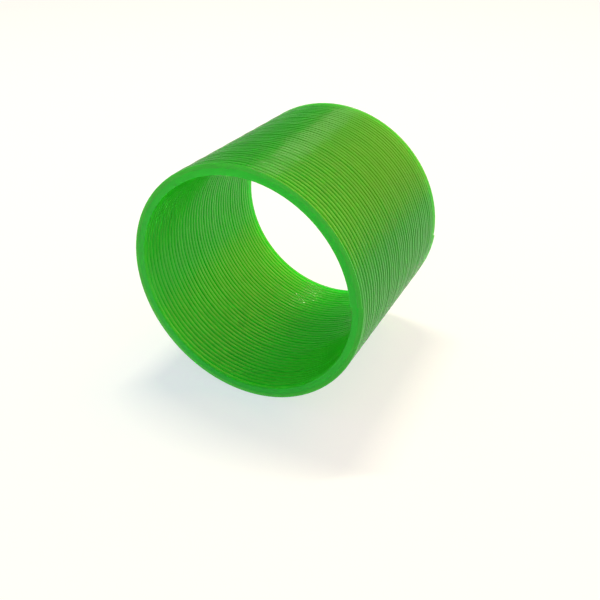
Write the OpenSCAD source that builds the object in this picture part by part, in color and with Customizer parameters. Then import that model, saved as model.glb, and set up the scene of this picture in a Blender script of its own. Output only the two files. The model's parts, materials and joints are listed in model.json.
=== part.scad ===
// Coil spring toy, lying on its side with the coil's axis along Y and its front end at -Y.
// The toy is one flat plastic strand, wound left-handed into closed turns. It is drawn as
// stretches of that strand: each one hinges on the next at the coil's left or right edge,
// which is where the turns pivot on each other when the coil fans open or is drawn out.

/* [Coil] */
// Outer diameter of the coil
outer_d = 75; // [50:1:110]
// Turns in each end stack, which stay closed
end_turns = 9; // [3:3:12]
// Turns between the two stacks, which fan open
fan_turns = 24; // [6:1:24]

/* [Strand] */
// Width of the strand, from the inside of the coil to the outside
strand_w = 3.45; // [2.5:0.05:6]
// Thickness of the strand, along the coil's axis
strand_t = 1.46; // [1.2:0.02:2.4]
// Rounding of the strand's four long edges
edge_r = 0.45; // [0.1:0.05:0.5]
// Clearance between neighbouring turns of the closed coil
turn_gap = 0.1; // [0.06:0.01:0.3]
// Clearance between the ends of two stretches where they hinge
seam_gap = 0.1; // [0.06:0.02:0.3]

/* [Hidden] */
$fn = 96;
coil_r = outer_d / 2;
mean_r = coil_r - strand_w / 2;
pitch = strand_t + turn_gap;
half_pitch = pitch / 2;

// The strand is counted in half turns: even ones pass over the top, odd ones under the bottom
node_halves = 3;
stack_halves = 2 * end_turns;
stack_nodes = stack_halves / node_halves;
coil_halves = 2 * stack_halves + 2 * fan_turns;

// The closed coil's length, between two end faces that are ground flat
coil_l = strand_t + (coil_halves - 2) * half_pitch;

// Each half turn leans by this much, which carries the strand on by half a pitch
lean = asin(half_pitch / (2 * mean_r));

// Angle that a half turn gives up at an end, for its share of the seam
seam_a = asin(seam_gap / 2 / mean_r);

function front_name(i) = str("front_turns_", i);
function back_name(i) = str("back_turns_", i);
function upper_name(i) = str("fan_turn_", i, "_upper");
function lower_name(i) = str("fan_turn_", i, "_lower");

// Place along the axis of the strand's centre line where half turn h begins
function start_y(h) = (strand_t - coil_l) / 2 + (h - 1) * half_pitch;

// Cross-section of the strand, at its distance from the coil's axis
module strand_section() {
    translate([mean_r, 0]) {
        square([strand_w - 2 * edge_r, strand_t], center = true);
        square([strand_w, strand_t - 2 * edge_r], center = true);
        for (x = [-1, 1], y = [-1, 1])
            translate([x * (strand_w / 2 - edge_r), y * (strand_t / 2 - edge_r)])
                circle(r = edge_r);
    }
}

// Half turn h, shortened by one angle where it begins and by another where it ends
module half_turn(h, begin_a, end_a) {
    over = h % 2 == 0;
    translate([0, start_y(h) + half_pitch / 2, coil_r])
        rotate([0, 0, over ? -lean : lean])
            rotate([90, 0, 0])
                rotate([0, 0, (over ? 0 : 180) + begin_a])
                    rotate_extrude(angle = 180 - begin_a - end_a)
                        strand_section();
}

// One unbroken stretch of the strand, with a seam at either end
module stretch(first_h, halves) {
    last_h = first_h + halves - 1;
    for (h = [first_h:last_h])
        half_turn(h, h == first_h ? seam_a : 0, h == last_h ? seam_a : 0);
}

// Cuts the strand's two ends flat, where they reach past the coil's end faces
module ground_flat() {
    intersection() {
        children();
        translate([0, 0, coil_r])
            cube([2 * outer_d, coil_l, 2 * outer_d], center = true);
    }
}

// A turn and a half of an end stack
module stack_turns(first_h) {
    color([0.12, 0.62, 0.16])
        if (first_h == 0 || first_h + node_halves == coil_halves)
            ground_flat() stretch(first_h, node_halves);
        else
            stretch(first_h, node_halves);
}

// Half a turn of the part that fans open
module fan_half(h) {
    color([0.16, 0.72, 0.2])
        stretch(h, 1);
}

for (i = [1:stack_nodes]) {
    stack_turns(node_halves * (i - 1));
    stack_turns(coil_halves - stack_halves + node_halves * (i - 1));
}
for (i = [1:fan_turns]) {
    fan_half(stack_halves + 2 * i - 2);
    fan_half(stack_halves + 2 * i - 1);
}
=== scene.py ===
"""The looks of a coil spring toy: one green plastic strand, wound left-handed into closed turns.

The strand is swept along the whole coil by one formula. It is cut into pieces: one rides on each end
stack, and one is made for each hinge. Lengths are in metres and angles in radians, unless the name says
otherwise. An angle a runs along the strand, from where its first half turn begins.
"""

import json
import math

import bpy
import numpy as np
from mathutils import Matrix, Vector


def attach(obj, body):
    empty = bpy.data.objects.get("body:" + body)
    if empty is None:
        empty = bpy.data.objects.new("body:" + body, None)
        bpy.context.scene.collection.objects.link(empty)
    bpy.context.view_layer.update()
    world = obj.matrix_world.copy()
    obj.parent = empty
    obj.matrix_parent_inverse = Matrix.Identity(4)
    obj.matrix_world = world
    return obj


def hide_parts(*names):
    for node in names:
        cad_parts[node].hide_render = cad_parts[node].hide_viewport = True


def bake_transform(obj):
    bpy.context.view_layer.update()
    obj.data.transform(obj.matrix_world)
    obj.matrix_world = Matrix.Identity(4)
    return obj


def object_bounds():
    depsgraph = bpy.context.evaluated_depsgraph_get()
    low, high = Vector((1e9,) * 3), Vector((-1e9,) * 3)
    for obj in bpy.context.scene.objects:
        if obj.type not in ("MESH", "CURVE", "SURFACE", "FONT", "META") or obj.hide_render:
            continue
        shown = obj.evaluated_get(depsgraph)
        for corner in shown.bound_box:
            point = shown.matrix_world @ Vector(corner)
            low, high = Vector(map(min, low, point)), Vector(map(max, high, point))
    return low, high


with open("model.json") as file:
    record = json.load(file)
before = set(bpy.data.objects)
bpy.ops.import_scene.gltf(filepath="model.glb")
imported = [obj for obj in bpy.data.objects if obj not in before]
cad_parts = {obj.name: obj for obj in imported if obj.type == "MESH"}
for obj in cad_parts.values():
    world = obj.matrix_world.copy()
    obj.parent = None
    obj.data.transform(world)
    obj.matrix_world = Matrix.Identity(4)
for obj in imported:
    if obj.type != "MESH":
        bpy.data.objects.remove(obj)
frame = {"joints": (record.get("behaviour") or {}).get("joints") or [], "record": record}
cad_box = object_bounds()

MM = 0.001
JOINTS = frame["joints"]
RECORD = frame["record"]
MOUNTS = {mount["name"]: mount for mount in RECORD["mounts"]}


# ---------------------------------------------------------------- the strand's size and place

COIL_R = (cad_box[1].z - cad_box[0].z) / 2
COIL_L = cad_box[1].y - cad_box[0].y
COIL_CENTRE = Vector((0, 0, COIL_R))
STRAND_W = 2 * (2 * COIL_R - MOUNTS["front_end_face"]["pos_m"][2])
HALF_PITCH = JOINTS[1]["pos_m"][1] - JOINTS[0]["pos_m"][1]
STACK_HALVES = round((JOINTS[0]["pos_m"][1] + COIL_L / 2) / HALF_PITCH)
HALVES = 2 * STACK_HALVES + len(JOINTS) - 1
STRAND_T = COIL_L - (HALVES - 2) * HALF_PITCH

# The turns of a real coil don't line up to the last hundredth, so each drifts by up to this much
DRIFT = 0.07 * MM
MEAN_R = COIL_R - STRAND_W / 2 - DRIFT

# The drift is made of slow waves along the strand. Each has a share of the whole, a pace and a start
SIDE_WAVES = ((0.6, 0.213, 1.0), (0.4, 0.377, 0.0))
UP_WAVES = ((0.6, 0.171, 0.0), (0.4, 0.431, 0.5 + math.pi / 2))

# The strand is cut off square, this far short of either end of its winding
TIP_ANGLE = math.radians(5.4)

STEPS_PER_HALF = 48

# The narrow sides bulge by this angle before the rounding of the edges begins
CROWN_ANGLE = math.radians(16)
CROWN_STEPS = 3
EDGE_R = 0.45 * MM
EDGE_STEPS = 4

# The UV map is in metres along and round the strand, divided by this
UV_SIZE = 100 * MM


# ---------------------------------------------------------------- the plastic's looks

# The colours of the clear share of the plastic and of the cloudy share: thin on the strand's narrow
# faces and deep on its wide ones. The plastic is one green all through. The deep green on the wide faces
# is painted shade for the long path of light through them, and the paler thin green is painted for the
# short path
CLEAR_THIN = (0.20, 0.88, 0.12)
CLEAR_DEEP = (0.02, 0.97, 0.08)
CLOUDY_THIN = (0.10, 0.86, 0.06)
CLOUDY_DEEP = (0.001, 0.98, 0.03)

# Across a wide face, from 0 inside to 1 outside, deep fades to thin between these two places. Past
# THIN_FROM a small share of deep, OUTER_DEPTH, is left. This paler outer edge is painted in place of the
# short path of light there
DEEP_UP_TO = 0.5
THIN_FROM = 0.7
OUTER_DEPTH = 0.05

CLEAR_SHARE = 0.47
GLOW_SHARE = 0.7
PLASTIC_IOR = 1.49
GLOSS = 0.15
ROUGHNESS = 0.1
COAT = 0.35
COAT_ROUGHNESS = 0.03

# Fine lines drawn out along the strand
LINES_STRETCH = (6, 160, 1)
LINES_SCALE = 4
LINES_DETAIL = 3
LINES_STRENGTH = 0.15
LINES_HEIGHT = 0.02 * MM

# A ripple in the gloss only, which breaks the lamp's reflection into short glints
RIPPLE_SCALE = 95
RIPPLE_DETAIL = 2
RIPPLE_STRENGTH = 1.0
RIPPLE_HEIGHT = 0.5 * MM


# ---------------------------------------------------------------- floor, light and camera

FLOOR_HALF_SIZE = 3.0
FLOOR_COLOUR = (0.40, 0.42, 0.45, 1)
FLOOR_ROUGHNESS = 0.9
FLOOR_GLOW_COLOUR = (0.91, 0.955, 1, 1)
FLOOR_GLOW = 0.66

# The even room, the warm glow at its far side, and the plain backdrop that the camera sees instead
ROOM_COLOUR = (0.31, 0.31, 0.31, 1)
GLOW_COLOUR = (3.1, 1.6, 0.5, 1)
GLOW_TOWARDS = (0.47, 0.8, 0.33)
GLOW_INNER_ANGLE = math.radians(5)
GLOW_OUTER_ANGLE = math.radians(60)
BACKDROP_COLOUR = (0.9, 0.9, 0.9, 1)

LAMP_TOWARDS = (-0.17, 0.25, 0.953)
LAMP_DISTANCE = 1.0
LAMP_LENGTH = 0.36
LAMP_WIDTH = 0.03
LAMP_POWER = 6
LAMP_COLOUR = (1.0, 0.93, 0.62)

# The camera's direction and distance from the middle of the coil, and how its picture is framed
CAMERA_TOWARDS = (0.4073, -0.7950, 0.4495)
CAMERA_DISTANCE = 6.2735 * COIL_R
CAMERA_LENS_MM = 43.85
CAMERA_SENSOR_MM = 36
CAMERA_SHIFT = (0.0121, -0.0962)
CAMERA_CLIP_START = 0.01


# ---------------------------------------------------------------- the strand


def strand_section():
    """The strand's rounded rectangle: offsets outward and along the axis, and their normals."""
    half_w, half_t = STRAND_W / 2, STRAND_T / 2
    crown_r = EDGE_R + (half_t - EDGE_R) / math.sin(CROWN_ANGLE)
    edge_angle = math.pi / 2 - CROWN_ANGLE
    crown = [CROWN_ANGLE * step / CROWN_STEPS for step in range(CROWN_STEPS + 1)]
    edge = [CROWN_ANGLE + edge_angle * step / EDGE_STEPS for step in range(1, EDGE_STEPS + 1)]
    quarter = []
    for a in crown + edge:
        r = crown_r if a <= CROWN_ANGLE else EDGE_R
        x = half_w - crown_r + r * math.cos(a)
        y = r * math.sin(a)
        if a > CROWN_ANGLE:
            x += (crown_r - EDGE_R) * math.cos(CROWN_ANGLE)
            y += (crown_r - EDGE_R) * math.sin(CROWN_ANGLE)
        quarter.append(((x, y), (math.cos(a), math.sin(a))))
    ring = list(quarter)
    ring += [((-x, y), (-u, v)) for (x, y), (u, v) in reversed(quarter)]
    ring += [((-x, -y), (-u, -v)) for (x, y), (u, v) in quarter[1:]]
    ring += [((x, -y), (u, -v)) for (x, y), (u, v) in list(reversed(quarter))[:-1]]
    return np.array([offset for offset, _ in ring]), np.array([normal for _, normal in ring])


def strand_y(a):
    """Where the strand's centre line lies along the coil's axis, at angle a."""
    return (STRAND_T - COIL_L) / 2 + (a / math.pi - 1) * HALF_PITCH


def drift(a, waves):
    """How far the waves push the turn at angle a off the coil's axis."""
    return DRIFT * sum(share * np.sin(pace * a + start) for share, pace, start in waves)


def strand_faces(rings, around, cut_first, cut_last):
    """The corners of the faces between rings of around points each, and of the faces of the cut ends."""
    faces = []
    for i in range(rings - 1):
        for k in range(around):
            j = (k + 1) % around
            faces.append((i * around + k, i * around + j, (i + 1) * around + j, (i + 1) * around + k))
    if cut_first:
        faces.append(tuple(range(around))[::-1])
    if cut_last:
        faces.append(tuple((rings - 1) * around + k for k in range(around)))
    return faces


def add_attribute(mesh, name, values):
    attribute = mesh.attributes.new(name, "FLOAT", "POINT")
    attribute.data.foreach_set("value", values.astype(np.float32))


def add_uv(mesh, a, section, loop_vertex):
    """Maps the way along the strand to U and the way round it to V."""
    around = len(section)
    along = (MEAN_R * a / UV_SIZE) + np.zeros((len(a), around))
    girth = np.cumsum([0] + [math.dist(section[k], section[k - 1]) for k in range(1, around)])
    girth = np.broadcast_to(girth[None, :] / UV_SIZE, (len(a), around))
    uv_of_vertex = np.stack([along, girth], axis=-1).reshape(-1, 2)
    uv = mesh.uv_layers.new(name="UVMap")
    uv.data.foreach_set("uv", uv_of_vertex[loop_vertex].astype(np.float32).ravel())


def set_normals(mesh, normal, ground, loop_vertex):
    """Shades the strand by its formula's normals, and the ground faces and cut ends flat."""
    loop_normals = normal[loop_vertex]
    for face in mesh.polygons:
        loops = list(face.loop_indices)
        flat = len(loops) > 4 or all(ground[loop_vertex[loop]] for loop in loops)
        for loop in loops:
            if flat or ground[loop_vertex[loop]]:
                loop_normals[loop] = face.normal
    mesh.polygons.foreach_set("use_smooth", [True] * len(mesh.polygons))
    mesh.normals_split_custom_set(loop_normals.tolist())


def strand_mesh(name, first_a, last_a, cut_first=False, cut_last=False):
    """A stretch of the strand between two angles. A cut end is closed, and others are left open to meet.

    What would stand out past the coil's two ends is ground flat.
    """
    section, section_n = strand_section()
    rings = max(2, round((last_a - first_a) / math.pi * STEPS_PER_HALF) + 1)
    around = len(section)
    a = np.linspace(first_a, last_a, rings)[:, None]
    radial = MEAN_R + section[None, :, 0]
    x = radial * np.cos(a) + drift(a, SIDE_WAVES)
    y = strand_y(a) + section[None, :, 1]
    z = radial * np.sin(a) + drift(a, UP_WAVES) + COIL_R
    front_y, back_y = -COIL_L / 2, COIL_L / 2
    ground = ((y < front_y) | (y > back_y)).reshape(-1)
    y = np.clip(y, front_y, back_y)
    co = np.stack([x, y, z], axis=-1).reshape(-1, 3)
    normal = np.stack(
        [
            section_n[None, :, 0] * np.cos(a),
            np.broadcast_to(section_n[None, :, 1], x.shape),
            section_n[None, :, 0] * np.sin(a),
        ],
        axis=-1,
    ).reshape(-1, 3)

    mesh = bpy.data.meshes.new(name)
    mesh.from_pydata(co.tolist(), [], strand_faces(rings, around, cut_first, cut_last))
    mesh.validate()
    mesh.update()

    # Where each point lies across the section and how far its face turns side on. The plastic uses both
    # for its painted depth of colour
    across = np.broadcast_to(section[None, :, 0] / STRAND_W + 0.5, (rings, around)).reshape(-1)
    side_on = np.broadcast_to(section_n[None, :, 1] ** 2, (rings, around)).copy().reshape(-1)
    side_on[ground] = 1.0
    add_attribute(mesh, "across", across)
    add_attribute(mesh, "side_on", side_on)
    loop_vertex = np.array([loop.vertex_index for loop in mesh.loops])
    add_uv(mesh, a, section, loop_vertex)
    set_normals(mesh, normal, ground, loop_vertex)

    obj = bpy.data.objects.new(name, mesh)
    bpy.context.scene.collection.objects.link(obj)
    return obj


def blend_along_strand(obj):
    """Bakes a stretch's transform into its mesh. The stretch is not bent."""
    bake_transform(obj)


# ---------------------------------------------------------------- the plastic


def coil_plastic():
    """Clear green plastic, a little cloudy, with a deeper green painted on the strand's wide faces in
    place of the long path of light through them.
    """
    mat = bpy.data.materials.new("coil_plastic")
    mat.use_nodes = True
    nodes, links = mat.node_tree.nodes, mat.node_tree.links
    nodes.remove(nodes["Principled BSDF"])

    def attribute(key):
        node = nodes.new("ShaderNodeAttribute")
        node.attribute_name = key
        return node.outputs["Fac"]

    def painted_depth_tint(thin, deep):
        """thin on the narrow faces and towards the outer edge of the wide ones, deep on the rest:
        painted depth of colour, in place of the short and long paths of light through the plastic.
        """
        depth = nodes.new("ShaderNodeMapRange")
        depth.interpolation_type = "SMOOTHSTEP"
        depth.inputs["From Min"].default_value = THIN_FROM
        depth.inputs["From Max"].default_value = DEEP_UP_TO
        depth.inputs["To Min"].default_value = OUTER_DEPTH
        links.new(attribute("across"), depth.inputs["Value"])
        share = nodes.new("ShaderNodeMath")
        share.operation = "MULTIPLY"
        links.new(depth.outputs["Result"], share.inputs[0])
        links.new(attribute("side_on"), share.inputs[1])
        mix = nodes.new("ShaderNodeMix")
        mix.data_type = "RGBA"
        mix.inputs["A"].default_value = (*thin, 1)
        mix.inputs["B"].default_value = (*deep, 1)
        links.new(share.outputs[0], mix.inputs["Factor"])
        return mix.outputs["Result"]

    def principled(colour, transmission):
        bsdf = nodes.new("ShaderNodeBsdfPrincipled")
        bsdf.inputs["Transmission Weight"].default_value = transmission
        bsdf.inputs["IOR"].default_value = PLASTIC_IOR
        bsdf.inputs["Specular IOR Level"].default_value = GLOSS
        bsdf.inputs["Roughness"].default_value = ROUGHNESS
        bsdf.inputs["Coat Weight"].default_value = COAT
        bsdf.inputs["Coat Roughness"].default_value = COAT_ROUGHNESS
        links.new(colour, bsdf.inputs["Base Color"])
        return bsdf

    def mix_shaders(share, first, second):
        """first, with the given share of it given up to second."""
        mix = nodes.new("ShaderNodeMixShader")
        mix.inputs["Fac"].default_value = share
        links.new(first.outputs[0], mix.inputs[1])
        links.new(second.outputs[0], mix.inputs[2])
        return mix

    def bump(vector, scale, detail, strength, height):
        """A normal bent by noise."""
        noise = nodes.new("ShaderNodeTexNoise")
        noise.inputs["Scale"].default_value = scale
        noise.inputs["Detail"].default_value = detail
        links.new(vector, noise.inputs["Vector"])
        node = nodes.new("ShaderNodeBump")
        node.inputs["Strength"].default_value = strength
        node.inputs["Distance"].default_value = height
        links.new(noise.outputs["Fac"], node.inputs["Height"])
        return node.outputs["Normal"]

    # Both shares take the painted depth of colour: deep green as painted shade on the wide faces, and
    # paler green on the narrow ones
    cloudy_colour = painted_depth_tint(CLOUDY_THIN, CLOUDY_DEEP)
    clear = principled(painted_depth_tint(CLEAR_THIN, CLEAR_DEEP), 1)
    cloudy = principled(cloudy_colour, 0)
    glow = nodes.new("ShaderNodeBsdfTranslucent")
    links.new(cloudy_colour, glow.inputs["Color"])
    cloud = mix_shaders(GLOW_SHARE, cloudy, glow)
    both = mix_shaders(CLEAR_SHARE, cloud, clear)
    links.new(both.outputs[0], nodes["Material Output"].inputs["Surface"])

    where = nodes.new("ShaderNodeTexCoord")
    stretch = nodes.new("ShaderNodeMapping")
    stretch.inputs["Scale"].default_value = LINES_STRETCH
    links.new(where.outputs["UV"], stretch.inputs["Vector"])
    lines = bump(stretch.outputs["Vector"], LINES_SCALE, LINES_DETAIL, LINES_STRENGTH, LINES_HEIGHT)
    ripple = bump(where.outputs["UV"], RIPPLE_SCALE, RIPPLE_DETAIL, RIPPLE_STRENGTH, RIPPLE_HEIGHT)
    for bsdf in (clear, cloudy):
        links.new(lines, bsdf.inputs["Normal"])
        links.new(ripple, bsdf.inputs["Coat Normal"])
    return mat


# ---------------------------------------------------------------- the pieces

plastic = coil_plastic()
body_nodes = RECORD["behaviour"]["bodies"]


def finish_piece(obj, replaced=()):
    """Gives a piece its plastic, and hides the CAD nodes that it stands for."""
    obj.data.materials.append(plastic)
    if replaced:
        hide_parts(*replaced)


front_last = math.pi * (STACK_HALVES - 0.5)
front = strand_mesh("front_stack_strand", TIP_ANGLE, front_last, cut_first=True)
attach(front, "front_stack")
finish_piece(front, body_nodes["front_stack"])

# One piece for each hinge, from the middle of one half turn to the middle of the next
for index, joint in enumerate(JOINTS):
    middle = math.pi * (STACK_HALVES + index)
    first_a, last_a = middle - math.pi / 2, middle + math.pi / 2
    piece = strand_mesh("strand_at_" + joint["name"], first_a, last_a)
    blend_along_strand(piece)
    child_is_stack = joint["child"] == "back_stack"
    finish_piece(piece, () if child_is_stack else body_nodes[joint["child"]])

back_first = math.pi * (HALVES - STACK_HALVES + 0.5)
back = strand_mesh("back_stack_strand", back_first, math.pi * HALVES - TIP_ANGLE, cut_last=True)
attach(back, "back_stack")
finish_piece(back, body_nodes["back_stack"])


# ---------------------------------------------------------------- the stage


def pale_floor():
    """A plain floor that gives off some light, so that it stays pale under the coil."""
    half = FLOOR_HALF_SIZE
    corners = [(-half, -half, 0), (half, -half, 0), (half, half, 0), (-half, half, 0)]
    mesh = bpy.data.meshes.new("floor")
    mesh.from_pydata(corners, [], [(0, 1, 2, 3)])
    obj = bpy.data.objects.new("floor", mesh)
    bpy.context.scene.collection.objects.link(obj)
    mat = bpy.data.materials.new("floor_paper")
    mat.use_nodes = True
    bsdf = mat.node_tree.nodes["Principled BSDF"]
    bsdf.inputs["Base Color"].default_value = FLOOR_COLOUR
    bsdf.inputs["Roughness"].default_value = FLOOR_ROUGHNESS
    bsdf.inputs["Emission Color"].default_value = FLOOR_GLOW_COLOUR
    bsdf.inputs["Emission Strength"].default_value = FLOOR_GLOW
    mesh.materials.append(mat)


def place_facing_coil(name, data, towards, distance):
    """An object that looks at the middle of the coil, from the given direction and distance."""
    towards = Vector(towards).normalized()
    obj = bpy.data.objects.new(name, data)
    bpy.context.scene.collection.objects.link(obj)
    obj.location = COIL_CENTRE + towards * distance
    obj.rotation_mode = "QUATERNION"
    obj.rotation_quaternion = (-towards).to_track_quat("-Z", "Y")
    return obj


def camera():
    """The camera at the photograph's angle."""
    data = bpy.data.cameras.new("camera")
    data.sensor_width = CAMERA_SENSOR_MM
    data.lens = CAMERA_LENS_MM
    data.shift_x, data.shift_y = CAMERA_SHIFT
    data.clip_start = CAMERA_CLIP_START
    bpy.context.scene.camera = place_facing_coil("camera", data, CAMERA_TOWARDS, CAMERA_DISTANCE)


def strip_lamp():
    """A long narrow lamp above the coil, for the glints on its upper side."""
    data = bpy.data.lights.new("lamp", "AREA")
    data.shape = "RECTANGLE"
    data.size = LAMP_LENGTH
    data.size_y = LAMP_WIDTH
    data.energy = LAMP_POWER
    data.color = LAMP_COLOUR
    place_facing_coil("lamp", data, LAMP_TOWARDS, LAMP_DISTANCE)


def room_light():
    """An even pale room, with a warm glow on its far side that the coil's walls reflect."""
    world = bpy.data.worlds.new("room")
    bpy.context.scene.world = world
    world.use_nodes = True
    nodes, links = world.node_tree.nodes, world.node_tree.links
    where = nodes.new("ShaderNodeTexCoord")
    towards_glow = nodes.new("ShaderNodeVectorMath")
    towards_glow.operation = "DOT_PRODUCT"
    towards_glow.inputs[1].default_value = Vector(GLOW_TOWARDS).normalized()
    links.new(where.outputs["Generated"], towards_glow.inputs[0])
    fade = nodes.new("ShaderNodeMapRange")
    fade.interpolation_type = "SMOOTHSTEP"
    fade.inputs["From Min"].default_value = math.cos(GLOW_OUTER_ANGLE)
    fade.inputs["From Max"].default_value = math.cos(GLOW_INNER_ANGLE)
    links.new(towards_glow.outputs["Value"], fade.inputs["Value"])
    colour = nodes.new("ShaderNodeMix")
    colour.data_type = "RGBA"
    colour.inputs["A"].default_value = ROOM_COLOUR
    colour.inputs["B"].default_value = GLOW_COLOUR
    links.new(fade.outputs["Result"], colour.inputs["Factor"])
    ray = nodes.new("ShaderNodeLightPath")
    seen = nodes.new("ShaderNodeMix")
    seen.data_type = "RGBA"
    seen.inputs["B"].default_value = BACKDROP_COLOUR
    links.new(ray.outputs["Is Camera Ray"], seen.inputs["Factor"])
    links.new(colour.outputs["Result"], seen.inputs["A"])
    links.new(seen.outputs["Result"], nodes["Background"].inputs["Color"])


pale_floor()
camera()
room_light()
strip_lamp()
bpy.context.scene.view_settings.view_transform = "Standard"
